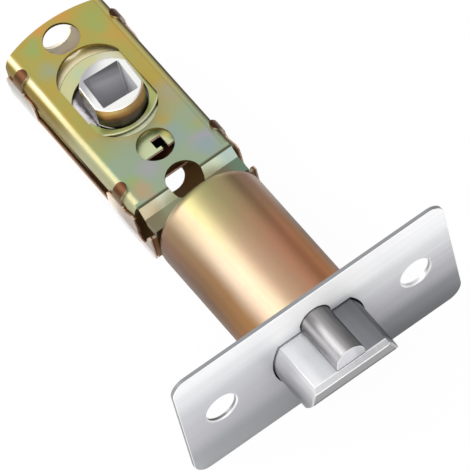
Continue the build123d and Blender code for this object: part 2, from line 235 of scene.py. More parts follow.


# In the looks below a pair of numbers is a span, leading in where its name ends in From and
# out where it ends in End. It is in millimetres, or of how squarely the face looks along an
# axis where the name holds Lean, or of a noise where it holds Noise. Only rimMiddle and
# glowMiddle are places, x and y. A tint with a number is a layer: a colour and its strength.
# A list of pairs holds stops: a place in millimetres and the colour there. Drift, the flange's
# noise and grain are noises' scales, per metre, and driftX is how far, in millimetres, the drift
# moves things along X.

# Case cover: khaki-gold zinc with drifting patches of green, mauve, mint and peach
coverLook = {
    "gold": tint(186, 164, 84),
    "green": tint(156, 176, 106),
    "mint": tint(152, 173, 150),
    "blue": tint(148, 168, 170),
    "mauve": tint(170, 164, 174),
    "peach": tint(214, 156, 82),
    "blush": tint(190, 158, 124),
    "drift": 110.0,
    "driftWarp": 0.5,
    "driftShift": (3.0, 1.0, 2.0),
    "driftX": 7.0,
    "driftY": 6.0,
    "greenNoise": (-0.091, 0.227),
    "greenStrength": 0.5,
    "mintStrength": 0.9,
    "frontFrom": (-60.0, -48.0),
    "rightFrom": (-1.0, 1.0),
    "bendLean": (0.08, 0.3),
    # Painted light and shade on the long bends: highlights on both, painted shade below the left one
    # and a painted shadow line along the right edge
    "lit": (tint(186, 179, 138), 0.9),
    "litRear": (tint(250, 240, 196), 0.8),
    "litRearLean": (0.3, 0.45),
    "litRearAcross": (-9.4, -8.5),
    "litRearEnd": (-72.0, -58.0),
    "underRear": tint(138, 120, 62),
    "underFront": tint(170, 170, 134),
    "underFrontFrom": (-66.0, -54.0),
    "underLean": (0.5, 0.7),
    "turn": tint(226, 214, 142),
    "turnFront": tint(190, 206, 170),
    "turnLow": tint(140, 130, 84),
    "turnLowLean": (0.45, 0.7),
    "turnStrength": 0.85,
    "line": tint(74, 66, 38),
    "lineLean": (0.61, 0.76),
    # A painted shadow line in the fold's crease, then the slope, painted lighter toward the left and
    # darker toward the right
    "fold": (tint(70, 62, 40), 0.85),
    "foldAt": -39.0,
    "foldWidth": (0.1, 0.55),
    "foldHeight": (5.0, 5.5),
    "slopeFrom": (-38.85, -38.65),
    "slope": (
        (-9.0, tint(208, 198, 168)),
        (-5.5, tint(232, 240, 226)),
        (5.0, tint(210, 222, 196)),
        (8.5, tint(178, 196, 186)),
    ),
    "neckFrom": (-37.25, -37.1),
    "neck": (
        (-9.0, tint(130, 123, 98)),
        (-6.0, tint(142, 144, 114)),
        (5.5, tint(118, 108, 86)),
        (9.0, tint(108, 130, 110)),
    ),
    "cut": tint(120, 98, 44),
    "cutLean": (0.2, 0.5),
    "cutAcross": (8.6, 9.0),
    "cutHeight": (4.9, 5.05),
    "cutEnd": (-38.9, -38.8),
    "grain": 2600.0,
    "rough": 0.36,
    "grit": 0.12,
    "driftRough": 0.08,
    "bendRough": 0.18,
    "bump": 0.1,
}
coverPatches = (
    ("peach", (-81.2, -2.6), 4.2, 0.95),
    ("peach", (-82.2, 2.4), 4.0, 0.8),
    ("peach", (-71.5, 7.5), 5.5, 0.3),
    ("green", (-78.5, 7.0), 4.0, 0.7),
    ("green", (-75.0, 6.0), 3.6, 0.7),
    ("green", (-78.4, -5.0), 3.6, 0.9),
    ("mint", (-72.8, -5.0), 3.4, 0.6),
    ("green", (-66.5, -9.0), 4.0, 0.25),
    ("green", (-52.5, -8.5), 4.5, 0.4),
    ("mauve", (-56.0, 8.5), 4.0, 0.3),
    ("mauve", (-43.4, 7.6), 4.4, 0.9),
    ("blue", (-47.5, 3.5), 4.0, 0.7),
    ("blue", (-41.5, 7.0), 3.0, 0.8),
    ("mauve", (-44.2, -3.8), 3.8, 0.7),
    ("green", (-43.2, -8.0), 3.4, 0.7),
    ("green", (-46.4, 8.6), 3.0, 0.6),
    ("blush", (-47.2, 9.8), 3.0, 0.4),
    ("blush", (-40.8, -7.6), 3.2, 0.8),
    ("gold", (-51.4, 3.6), 3.6, 0.8),
)


def coverZinc(name, look, patches):
    made, graph = material(name)
    place = graph.place()
    x, y, z = graph.along("X"), graph.along("Y"), graph.along("Z")
    faceY, faceZ = graph.facing("Y"), graph.facing("Z")
    drift = graph.drift(place, look["drift"], look["driftWarp"])
    elsewhere = graph.vector("ADD", place, look["driftShift"])
    softX = x + drift * look["driftX"]
    softY = y + graph.drift(elsewhere, look["drift"], look["driftWarp"]) * look["driftY"]
    front = softX.ramp(look["frontFrom"])
    right = y.ramp(look["rightFrom"])
    left = 1.0 - right

    # The flat top
    green = drift.ramp(look["greenNoise"]) * look["greenStrength"]
    colour = graph.mix(green, look["gold"], look["green"])
    colour = graph.mix(front * look["mintStrength"], colour, look["mint"])
    colour = graph.patches(colour, look, softX, softY, patches)

    # The long bends, with light and shade painted on: the left one in the light, with a painted
    # highlight and a painted highlight strip toward the rear, and painted shade below it; the right one
    # turned away, with a painted highlight on its turn and a painted shadow line along its edge
    bend = faceY.ramp(look["bendLean"])
    colour = graph.over(colour, bend * left, look["lit"])
    strip = y.fall(look["litRearAcross"]) * faceY.fall(look["litRearLean"])
    colour = graph.over(colour, strip * x.fall(look["litRearEnd"]), look["litRear"])
    under = graph.mix(x.ramp(look["underFrontFrom"]), look["underRear"], look["underFront"])
    colour = graph.mix(faceY.ramp(look["underLean"]) * left, colour, under)
    turn = graph.mix(front, look["turn"], look["turnFront"])
    turn = graph.mix(faceY.ramp(look["turnLowLean"]), turn, look["turnLow"])
    colour = graph.over(colour, bend * right, (turn, look["turnStrength"]))
    colour = graph.mix(faceY.ramp(look["lineLean"]) * right, colour, look["line"])

    # The fold, with a painted shadow line in its crease, the slope down from it, painted lighter toward
    # the left and darker toward the right, and the neck
    fold = x.near(look["foldAt"], look["foldWidth"]) * z.ramp(look["foldHeight"])
    colour = graph.over(colour, fold, look["fold"])
    colour = graph.mix(x.ramp(look["slopeFrom"]), colour, graph.stops(softY, look["slope"]))
    colour = graph.mix(x.ramp(look["neckFrom"]), colour, graph.stops(softY, look["neck"]))

    # The sheared walls of the openings
    cut = faceZ.fall(look["cutLean"]) * abs(y).fall(look["cutAcross"]) * z.ramp(look["cutHeight"])
    colour = graph.mix(cut * x.fall(look["cutEnd"]), colour, look["cut"])
    grain = graph.noise(place, look["grain"])
    rough = gritty(look, grain) + drift * look["driftRough"] + bend * look["bendRough"]
    surface(graph, colour, rough, grain, look["bump"])
    return made


# Case base: pale zinc, its sheared edges coppery and its tabs brown, with light and shade painted on
# its walls and inside
baseLook = {
    "drift": 160.0,
    "driftWarp": 0.4,
    "driftX": 4.0,
    "driftZ": 1.5,
    "end": tint(248, 247, 248),
    "rearFrom": (-80.0, -78.5),
    # The walls' stops hold painted light and shade up their height
    "rear": (
        (-4.6, tint(199, 198, 198)),
        (-3.4, tint(248, 247, 247)),
        (-1.0, tint(206, 205, 200)),
        (1.0, tint(180, 177, 170)),
    ),
    "mainFrom": (-72.0, -69.0),
    "main": (
        (-4.6, tint(204, 204, 204)),
        (-3.4, tint(248, 247, 248)),
        (-1.0, tint(242, 236, 226)),
        (1.0, tint(240, 224, 200)),
    ),
    "frontFrom": (-48.0, -42.0),
    "front": (
        (-4.6, tint(204, 202, 202)),
        (-3.0, tint(226, 220, 216)),
        (-1.0, tint(162, 152, 145)),
        (1.0, tint(168, 154, 138)),
    ),
    # Painted shade inside the case, and painted light toward its rear and on its back wall
    "inside": tint(122, 88, 46),
    "insideRear": tint(244, 232, 204),
    "insideFrom": (-76.0, -70.0),
    "insideAcross": (10.6, 10.8),
    "insideTop": (2.4, 2.8),
    "insideFloor": (-5.3, -5.1),
    "insideDull": 0.7,
    "back": tint(255, 246, 226),
    "backAt": -81.4,
    "backWidth": (0.8, 1.6),
    "backDull": 0.2,
    "tab": (
        (3.0, tint(124, 108, 82)),
        (4.2, tint(112, 94, 66)),
        (5.4, tint(138, 108, 78)),
    ),
    "tabHeight": (2.6, 3.4),
    "tabEnd": (-42.0, -41.0),
    "tabTop": tint(90, 60, 40),
    "tabTopLean": (0.3, 0.7),
    "tabSide": tint(206, 196, 186),
    "tabSideLean": (0.35, 0.7),
    "cutLean": (0.4, 0.7),
    "cutAcross": (10.65, 10.75),
    "cutHeight": (-2.8, -2.4),
    "cutIn": tint(112, 76, 52),
    "cutOut": tint(212, 184, 164),
    "cutOutAcross": (10.95, 11.12),
    "cutDrift": 0.3,
    "grain": 1800.0,
    "rough": 0.4,
    "grit": 0.15,
    "bump": 0.15,
}


def baseZinc(name, look):
    made, graph = material(name)
    place = graph.place()
    x, y, z = graph.along("X"), graph.along("Y"), graph.along("Z")
    faceX, faceY, faceZ = graph.facing("X"), graph.facing("Y"), graph.facing("Z")
    drift = graph.drift(place, look["drift"], look["driftWarp"])
    softX = x + drift * look["driftX"]
    softZ = z + drift * look["driftZ"]
    skin = abs(y)

    # The outside, from the rear to the front, with painted light and shade up the walls: darker toward
    # the bottom bend and, at the rear and front, toward the top
    colour = graph.mix(softX.ramp(look["rearFrom"]), look["end"], graph.stops(softZ, look["rear"]))
    colour = graph.mix(softX.ramp(look["mainFrom"]), colour, graph.stops(softZ, look["main"]))
    colour = graph.mix(softX.ramp(look["frontFrom"]), colour, graph.stops(softZ, look["front"]))

    # The inside, in painted shade, brown, with painted light toward the rear and on its back wall
    inside = skin.fall(look["insideAcross"]) * z.fall(look["insideTop"]) * z.ramp(look["insideFloor"])
    within = graph.mix(x.ramp(look["insideFrom"]), look["insideRear"], look["inside"])
    back = x.near(look["backAt"], look["backWidth"])
    colour = graph.mix(inside, colour, graph.mix(back, within, look["back"]))

    # The crimped tabs
    tab = z.ramp(look["tabHeight"]) * x.fall(look["tabEnd"])
    colour = graph.mix(tab, colour, graph.stops(z, look["tab"]))
    colour = graph.mix(tab * faceZ.ramp(look["tabTopLean"]), colour, look["tabTop"])
    colour = graph.mix(tab * faceX.ramp(look["tabSideLean"]), colour, look["tabSide"])

    # The sheared edges of the sheet, darker toward its inner face
    cut = faceY.fall(look["cutLean"]) * skin.ramp(look["cutAcross"]) * (1.0 - tab)
    outward = (skin + drift * look["cutDrift"]).ramp(look["cutOutAcross"])
    edge = graph.mix(outward, look["cutIn"], look["cutOut"])
    colour = graph.mix(cut * z.ramp(look["cutHeight"]), colour, edge)
    grain = graph.noise(place, look["grain"])
    metal = 1.0 - inside * (look["insideDull"] + back * look["backDull"])
    surface(graph, colour, gritty(look, grain), grain, look["bump"], metal)
    return made


# Inner plates: pale yellow-green zinc with coppery sheared edges, a painted patch of light and painted
# shade between the plates
innerLook = {
    "drift": 140.0,
    "driftWarp": 0.5,
    "driftX": 6.0,
    "sand": tint(240, 230, 190),
    "mint": tint(204, 216, 174),
    "mintFrom": (-63.0, -51.0),
    # A painted patch of light, then painted shade on the lower plate's face under the upper one
    "glow": (tint(255, 238, 120), 0.8),
    "glowMiddle": (-49.6, 3.6),
    "glowReach": 2.2,
    "glowDull": 0.7,
    "below": tint(176, 108, 76),
    "belowTop": (-3.9, 0.0),
    "belowFloor": (-4.0, -3.8),
    "belowFrom": (-60.0, -56.0),
    "edge": tint(255, 222, 200),
    "edgeLean": (0.3, 0.6),
    "edgeDull": 0.4,
    "grain": 2400.0,
    "rough": 0.38,
    "grit": 0.12,
    "bump": 0.1,
}


def innerZinc(name, look):
    made, graph = material(name)
    place = graph.place()
    x, y, z = graph.along("X"), graph.along("Y"), graph.along("Z")
    drift = graph.drift(place, look["drift"], look["driftWarp"])
    mint = (x + drift * look["driftX"]).ramp(look["mintFrom"])
    colour = graph.mix(mint, look["sand"], look["mint"])
    # A painted patch of light, less metallic
    glow = graph.distance(x, y, look["glowMiddle"]).fall((0.0, look["glowReach"]))
    colour = graph.over(colour, glow, look["glow"])
    # Painted shade, brown, on the lower plate's face under the upper plate, toward the front
    below = z.fall(look["belowTop"]) * z.ramp(look["belowFloor"]) * x.ramp(look["belowFrom"])
    colour = graph.mix(below, colour, look["below"])
    edge = graph.facing("Z").fall(look["edgeLean"])
    colour = graph.mix(edge, colour, look["edge"])
    grain = graph.noise(place, look["grain"])
    metal = 1.0 - (glow * look["glowDull"]).above(edge * look["edgeDull"])
    surface(graph, colour, gritty(look, grain), grain, look["bump"], metal)
    return made


# Discs round the hub: pale yellow-green zinc with a painted shadow line and a painted highlight along
# the rim
discLook = {
    "drift": 120.0,
    "driftWarp": 0.5,
    "driftX": 3.0,
    "rear": tint(210, 208, 158),
    "front": tint(184, 192, 120),
    "frontFrom": (-64.0, -57.0),
    "mint": tint(186, 208, 176),
    "pearl": tint(228, 224, 228),
    "glint": tint(244, 246, 224),
    "rimMiddle": (-62.4, 0.0),
    # A painted shadow line along the rim and the front edges, and a painted highlight along the front
    # rim
    "line": (tint(84, 78, 44), 0.8),
    "lineRadius": (8.76, 8.84),
    "lineEnd": (-64.0, -62.0),
    "edgeLean": (0.3, 0.6),
    "edgeFrom": (-56.5, -56.0),
    "shineRadius": 8.68,
    "shineWidth": (0.03, 0.13),
    "shineFrom": (-58.6, -57.0),
    "shineLean": (0.6, 0.9),
    "shineStrength": 0.9,
    "dull": 0.65,
    "dullFrom": (-57.0, -54.0),
    "grain": 2400.0,
    "rough": 0.34,
    "grit": 0.12,
    "bump": 0.1,
}
# Patches of tone; the glint one is a painted highlight near the front
discPatches = (
    ("mint", (-69.0, -1.5), 3.0, 0.6),
    ("pearl", (-68.0, 3.4), 3.4, 0.8),
    ("glint", (-52.6, 1.6), 3.0, 0.9),
)


def discZinc(name, look, patches):
    made, graph = material(name)
    place = graph.place()
    x, y = graph.along("X"), graph.along("Y")
    faceZ = graph.facing("Z")
    softX = x + graph.drift(place, look["drift"], look["driftWarp"]) * look["driftX"]
    colour = graph.mix(softX.ramp(look["frontFrom"]), look["rear"], look["front"])
    colour = graph.patches(colour, look, softX, y, patches)
    # A painted shadow line round the rear of the rim and on the front edges, and a painted highlight
    # along the front rim, where the metal is duller
    radius = graph.distance(x, y, look["rimMiddle"])
    line = radius.ramp(look["lineRadius"]) * x.fall(look["lineEnd"])
    line = line.above(faceZ.fall(look["edgeLean"]) * x.ramp(look["edgeFrom"]))
    colour = graph.over(colour, line, look["line"])
    shine = radius.near(look["shineRadius"], look["shineWidth"])
    shine = shine * x.ramp(look["shineFrom"]) * faceZ.ramp(look["shineLean"])
    colour = graph.over(colour, shine, (look["glint"], look["shineStrength"]))
    grain = graph.noise(place, look["grain"])
    metal = 1.0 - (x.ramp(look["dullFrom"]) * look["dull"]).above(shine)
    surface(graph, colour, gritty(look, grain), grain, look["bump"], metal)
    return made


# Barrel: satin zinc, yellower at the rear, with light and shade painted across it: sandy where a
# painted highlight falls and coppery round the sides, partly its own tone and partly painted shade.
# The stops go across the barrel
barrelLook = {
    "drift": 60.0,
    "driftWarp": 0.4,
    "driftX": 8.0,
    "driftY": 1.2,
    "frontFrom": (-32.0, -15.0),
    "front": (
        (-10.65, tint(108, 80, 54)),
        (-10.1, tint(132, 98, 64)),
        (-8.8, tint(152, 116, 80)),
        (-6.9, tint(195, 173, 150)),
        (-5.0, tint(168, 156, 132)),
        (-3.8, tint(168, 154, 128)),
        (-1.9, tint(180, 152, 126)),
        (0.9, tint(194, 154, 124)),
        (3.7, tint(224, 162, 128)),
        (6.1, tint(204, 138, 98)),
        (8.2, tint(148, 97, 46)),
        (9.6, tint(100, 70, 48)),
    ),
    "rear": (
        (-10.65, tint(112, 88, 74)),
        (-10.1, tint(130, 99, 80)),
        (-8.8, tint(148, 121, 93)),
        (-6.9, tint(182, 161, 132)),
        (-5.0, tint(172, 154, 124)),
        (-3.8, tint(166, 158, 112)),
        (-1.9, tint(168, 160, 112)),
        (0.9, tint(168, 161, 114)),
        (3.7, tint(190, 172, 128)),
        (6.1, tint(166, 138, 106)),
        (8.2, tint(140, 106, 84)),
        (9.6, tint(164, 140, 124)),
    ),
    "amber": (tint(196, 124, 40), 0.22),
    "amberDrift": 4.0,
    "amberFrom": (-19.0, -2.0),
    "amberMiddle": -1.5,
    "amberAcross": (3.0, 8.0),
    "grain": (500.0, 3000.0, 3000.0),
    "rough": 0.42,
    "grit": 0.14,
    "bump": 0.12,
}


def barrelZinc(name, look):
    made, graph = material(name)
    place = graph.place()
    x, y = graph.along("X"), graph.along("Y")
    drift = graph.drift(place, look["drift"], look["driftWarp"])
    softY = y + drift * look["driftY"]
    front = (x + drift * look["driftX"]).ramp(look["frontFrom"])
    # The stops hold painted light and shade as well as the barrel's tone
    colour = graph.mix(front, graph.stops(softY, look["rear"]), graph.stops(softY, look["front"]))
    amber = (x + drift * look["amberDrift"]).ramp(look["amberFrom"])
    amber = amber * abs(y - look["amberMiddle"]).ramp(look["amberAcross"])
    colour = graph.over(colour, amber, look["amber"])
    grain = graph.brushed(place, look["grain"])
    surface(graph, colour, gritty(look, grain), grain, look["bump"])
    return made


# Brushed stainless: fine lines along the plate's length, with painted light and shade: paler toward its
# upper edge and darker toward the lower right, a painted patch of light above the bolt, painted light
# on the right screw hole's wall and painted glints along its edges.
# The stops go up the plate
plateLook = {
    "rightFrom": (-26.0, 20.0),
    "left": (
        (-13.0, tint(172, 173, 175)),
        (-9.0, tint(165, 168, 172)),
        (-4.0, tint(189, 188, 194)),
        (0.0, tint(195, 194, 200)),
        (4.0, tint(205, 206, 210)),
        (9.0, tint(229, 230, 232)),
        (13.0, tint(248, 249, 250)),
    ),
    "right": (
        (-13.0, tint(122, 123, 126)),
        (-9.0, tint(140, 141, 145)),
        (-4.0, tint(184, 183, 188)),
        (0.0, tint(204, 203, 208)),
        (4.0, tint(224, 225, 227)),
        (9.0, tint(246, 247, 249)),
        (13.0, tint(253, 253, 254)),
    ),
    # White for the painted patch of light and the painted glints
    "white": tint(255, 255, 255),
    "whiteMiddle": 2.0,
    "whiteWidth": (7.0, 15.0),
    "whiteHeight": (6.0, 9.0),
    "rim": tint(130, 131, 134),
    "rimLean": (0.4, 0.6),
    "wall": tint(214, 215, 218),
    "wallFrom": (-24.0, 12.0),
    "screwSpacing": 41.28,
    "screwHole": (3.4, 3.9),
    "glintLeanAt": 0.75,
    "glintLeanWidth": (0.1, 0.2),
    "glintHeight": (13.0, 13.6),
    "glintStrength": 0.8,
    "lines": (9000.0, 60.0, 9000.0),
    "linesRough": 0.65,
    "bands": (1500.0, 25.0, 1500.0),
    "bandsRough": 0.55,
    "brushNoise": (0.35, 0.7),
    "brushStrength": 0.1,
    "rough": 0.42,
    "grit": 0.16,
    "bump": 0.08,
    "metal": 0.55,
    "metalTop": 0.05,
    "metalTopHeight": (5.0, 9.5),
}


def brushedPlate(name, look):
    made, graph = material(name)
    place = graph.place()
    y, z = graph.along("Y"), graph.along("Z")
    faceX = graph.facing("X")
    lines = graph.brushed(place, look["lines"], rough=look["linesRough"])
    bands = graph.brushed(place, look["bands"], detail=2.0, rough=look["bandsRough"])
    # Painted light and shade up the plate, and a painted patch of light above the bolt
    right = y.ramp(look["rightFrom"])
    colour = graph.mix(right, graph.stops(z, look["left"]), graph.stops(z, look["right"]))
    white = y.near(look["whiteMiddle"], look["whiteWidth"]) * z.ramp(look["whiteHeight"])
    colour = graph.mix(white, colour, look["white"])
    brush = ((lines + bands) * 0.5).ramp(look["brushNoise"])
    colour = graph.over(colour, brush, (look["rim"], look["brushStrength"]))
    # The screw holes' walls, painted light toward the right one, and the other edges grey
    wall = abs(y).near(look["screwSpacing"] / 2, look["screwHole"])
    wall = wall * abs(z).fall(look["screwHole"]) * y.ramp(look["wallFrom"])
    side = graph.mix(wall, look["rim"], look["wall"])
    colour = graph.mix(faceX.fall(look["rimLean"]), colour, side)
    # Painted glints along the rounded edges, but not the top one
    glint = faceX.near(look["glintLeanAt"], look["glintLeanWidth"]) * z.fall(look["glintHeight"])
    colour = graph.over(colour, glint, (look["white"], look["glintStrength"]))
    top = z.ramp(look["metalTopHeight"])
    metal = look["metal"] + (look["metalTop"] - look["metal"]) * top
    surface(graph, colour, gritty(look, lines), lines, look["bump"], metal)
    return made


# Plain steels: one tone, drifting to a deeper one. Deep is how much of its light that keeps
steelLook = {
    "tone": tint(158, 157, 156),
    "toneNoise": (-0.2, 0.2),
    "deep": 0.8,
    "drift": 120.0,
    "grain": 1500.0,
    "rough": 0.42,
    "grit": 0.12,
    "bump": 0.15,
}
darkSteelLook = {**steelLook, "tone": tint(120, 116, 110), "deep": 0.7, "grain": 1400.0, "rough": 0.45}
wireLook = {**steelLook, "tone": tint(150, 150, 152), "grain": 3000.0, "rough": 0.35}


def plainSteel(name, look):
    made, graph = material(name)
    place = graph.place()
    red, green, blue, solid = look["tone"]
    deep = (red * look["deep"], green * look["deep"], blue * look["deep"], solid)
    drift = graph.drift(place, look["drift"])
    colour = graph.mix(drift.ramp(look["toneNoise"]), deep, look["tone"])
    grain = graph.noise(place, look["grain"])
    surface(graph, colour, gritty(look, grain), grain, look["bump"])
    return made


# Latch bolt: a satin casting, painted lighter on the left and darker toward the right as light and
# shade, with painted glints on the edges at its nose and painted shade on its right flank.
# The stops of across go from left to right, and those of side go up its left side
boltLook = {
    "drift": 90.0,
    "driftY": 1.6,
    # Painted light and shade from left to right
    "across": (
        (-8.2, tint(234, 234, 236)),
        (-6.5, tint(236, 236, 238)),
        (-4.5, tint(212, 213, 216)),
        (2.0, tint(160, 161, 164)),
        (4.8, tint(126, 127, 132)),
        (7.0, tint(112, 113, 117)),
    ),
    "sideEnd": (-8.2, -7.8),
    "side": (
        (-4.5, tint(170, 170, 172)),
        (-1.6, tint(150, 150, 152)),
        (0.4, tint(152, 152, 154)),
        (2.6, tint(190, 190, 192)),
        (4.8, tint(216, 216, 218)),
    ),
    "pale": tint(250, 250, 252),
    "paleStrength": 0.5,
    "paleAlong": (0.0, 5.5),
    "paleAcross": (-4.0, 3.0),
    "paleHeight": (0.5, 4.0),
    "streak": (60.0, 2600.0, 60.0),
    "streakNoise": (0.4, 0.7),
    "streakStrength": 0.1,
    "tipFrom": (10.0, 10.4),
    "chamferLeft": tint(206, 206, 208),
    "chamferRight": tint(180, 180, 182),
    "chamferAcross": (-7.0, 6.0),
    "chamferLean": (0.5, 0.65),
    "noseHigh": tint(156, 156, 156),
    "noseLow": tint(112, 112, 114),
    "noseHeight": (2.5, 2.9),
    "noseLean": (0.85, 0.95),
    # Painted glints on the nose's edges, then painted shade on the right flank
    "crest": tint(255, 255, 255),
    "crestAt": 4.78,
    "crestWidth": (0.03, 0.13),
    "crestFrom": (11.1, 11.2),
    "topCrestAt": 10.46,
    "topCrestWidth": (0.06, 0.16),
    "topCrestHeight": (5.4, 5.6),
    "topCrestStrength": 0.5,
    "crestDull": 0.9,
    "flank": tint(60, 60, 64),
    "flankLean": (0.6, 0.9),
    "flankFrom": (7.3, 7.6),
    "flankEnd": (9.5, 10.5),
    "grain": 1200.0,
    "rough": 0.34,
    "grit": 0.1,
    "bump": 0.06,
    "metal": 0.75,
}


def boltMetal(name, look):
    made, graph = material(name)
    place = graph.place()
    x, y, z = graph.along("X"), graph.along("Y"), graph.along("Z")
    faceX, faceY = graph.facing("X"), graph.facing("Y")
    drift = graph.drift(place, look["drift"])
    # Painted light and shade across the top and up the left side, and a painted patch of light near the
    # plate
    colour = graph.stops(y + drift * look["driftY"], look["across"])
    colour = graph.mix(y.fall(look["sideEnd"]), colour, graph.stops(z + drift, look["side"]))
    pale = x.fall(look["paleAlong"]) * y.fall(look["paleAcross"]) * z.ramp(look["paleHeight"])
    colour = graph.over(colour, pale, (look["pale"], look["paleStrength"]))

    # The chamfer round the tip, painted lighter on the left, then the flat nose, painted darker toward
    # its foot
    chamfer = graph.mix(y.ramp(look["chamferAcross"]), look["chamferLeft"], look["chamferRight"])
    streak = graph.brushed(place, look["streak"], detail=2.0).ramp(look["streakNoise"])
    chamfer = graph.over(chamfer, streak, (look["pale"], look["streakStrength"]))
    tip = x.ramp(look["tipFrom"])
    colour = graph.mix(faceX.ramp(look["chamferLean"]) * tip, colour, chamfer)
    nose = graph.mix(z.ramp(look["noseHeight"]), look["noseLow"], look["noseHigh"])
    colour = graph.mix(faceX.ramp(look["noseLean"]) * tip, colour, nose)

    # Painted glints on the nose's edges, and painted shade on the right flank
    crest = z.near(look["crestAt"], look["crestWidth"]) * x.ramp(look["crestFrom"])
    topCrest = x.near(look["topCrestAt"], look["topCrestWidth"]) * z.ramp(look["topCrestHeight"])
    crest = crest.above(topCrest * look["topCrestStrength"])
    colour = graph.mix(crest, colour, look["crest"])
    flank = faceY.ramp(look["flankLean"]) * y.ramp(look["flankFrom"]) * x.fall(look["flankEnd"])
    colour = graph.mix(flank, colour, look["flank"])
    grain = graph.noise(place, look["grain"])
    metal = look["metal"] * (1.0 - crest * look["crestDull"])
    surface(graph, colour, gritty(look, grain), grain, look["bump"], metal)
    return made


# Plunger: a satin casting with a pale front, with painted light and shade across it, darker toward the
# right, and a painted glint round its front rim. The stops go across it
plungerLook = {
    "drift": 90.0,
    "driftY": 0.5,
    "across": (
        (-2.7, tint(124, 122, 124)),
        (-1.95, tint(206, 204, 205)),
        (-1.37, tint(142, 140, 141)),
        (-0.68, tint(148, 146, 147)),
        (-0.17, tint(168, 166, 167)),
        (0.4, tint(160, 158, 159)),
        (1.4, tint(146, 144, 145)),
        (2.3, tint(106, 105, 107)),
        (3.1, tint(86, 86, 88)),
    ),
    "frontLeft": tint(226, 226, 230),
    "frontRight": tint(204, 205, 208),
    "frontAcross": (0.9, 2.0),
    "frontLean": (0.6, 0.9),
    "rim": (tint(255, 255, 255), 0.8),
    "rimLeanAt": 0.72,
    "rimLeanWidth": (0.1, 0.2),
    "rimDull": 0.5,
    "grain": (300.0, 1800.0, 1800.0),
    "grainRough": 0.55,
    "rough": 0.4,
    "grit": 0.1,
    "bump": 0.06,
}


def plungerMetal(name, look):
    made, graph = material(name)
    place = graph.place()
    y = graph.along("Y")
    faceX = graph.facing("X")
    # Painted light and shade across the plunger, and its front painted darker toward the right
    colour = graph.stops(y + graph.drift(place, look["drift"]) * look["driftY"], look["across"])
    front = graph.mix(y.ramp(look["frontAcross"]), look["frontLeft"], look["frontRight"])
    colour = graph.mix(faceX.ramp(look["frontLean"]), colour, front)
    # A painted glint round the front rim
    rim = faceX.near(look["rimLeanAt"], look["rimLeanWidth"])
    colour = graph.over(colour, rim, look["rim"])
    grain = graph.brushed(place, look["grain"], rough=look["grainRough"])
    metal = 1.0 - rim * look["rimDull"]
    surface(graph, colour, gritty(look, grain), grain, look["bump"], metal)
    return made


# Hub: bright casting, with light and shade painted on: painted shade below its flat side and on the
# flat, a brassy painted reflection on its side toward the bolt, painted shade at its foot and a painted
# glint round it, and lit and shaded walls in its bore.
# The stops go away from the middle of the case, toward either face
hubLook = {
    "axis": -60.3,
    "drift": 150.0,
    "driftX": 1.5,
    "driftZ": 2.4,
    "brassFrom": (-64.0, -62.5),
    "silver": (
        (6.4, tint(150, 148, 152)),
        (8.0, tint(176, 172, 174)),
        (9.4, tint(196, 193, 196)),
    ),
    # A brassy painted reflection, in painted shade toward the foot
    "brass": (
        (6.4, tint(42, 33, 33)),
        (7.2, tint(98, 68, 56)),
        (8.4, tint(206, 150, 96)),
        (9.4, tint(226, 184, 134)),
    ),
    "brassDull": 0.35,
    "brassDullFrom": (-62.0, -60.0),
    "flatLean": (0.75, 0.9),
    "flat": (
        (6.4, tint(62, 57, 54)),
        (8.0, tint(74, 68, 64)),
        (9.4, tint(130, 120, 112)),
    ),
    "topLean": (0.3, 0.8),
    "shade": tint(186, 184, 190),
    "bright": tint(250, 250, 246),
    "brightFrom": (-7.5, -2.0),
    # Painted light and shade on the end and the flange, and a painted patch of light at the flange's
    # front
    "flange": tint(96, 90, 92),
    "flangeTop": (6.5, 8.0),
    "flangeOuter": tint(236, 232, 238),
    "flangeOuterEnd": (-5.7, -4.9),
    "flangeLightNoise": 700.0,
    "flangeLightNoiseReach": 1.4,
    "flangeFront": tint(250, 255, 226),
    "flangeFrontFrom": (-55.4, -54.8),
    "flangeFrontEnd": (-52.6, -52.2),
    "flangeFrontHeight": (3.6, 4.0),
    "flangeFrontDull": 1.1,
    # A painted glint round the boss's foot
    "footGlint": tint(250, 248, 244),
    "footGlintHeight": 3.9,
    "footGlintWidth": (0.1, 0.25),
    "footGlintSlope": 0.3,
    "footGlintEnd": (-4.0, -3.0),
    "footGlintFrom": (-58.6, -58.0),
    "bore": (3.7, 3.9),
    # Painted light and shade on the bore's walls
    "boreLeft": (
        (6.5, tint(210, 210, 214)),
        (8.3, tint(176, 176, 179)),
        (10.4, tint(118, 118, 120)),
    ),
    "boreSlope": 0.25,
    "boreRight": tint(234, 235, 238),
    "boreRightLean": (0.4, 0.6),
    "dullMetal": 0.2,
    "grain": 1000.0,
    "rough": 0.3,
    "grit": 0.1,
    "bump": 0.08,
}


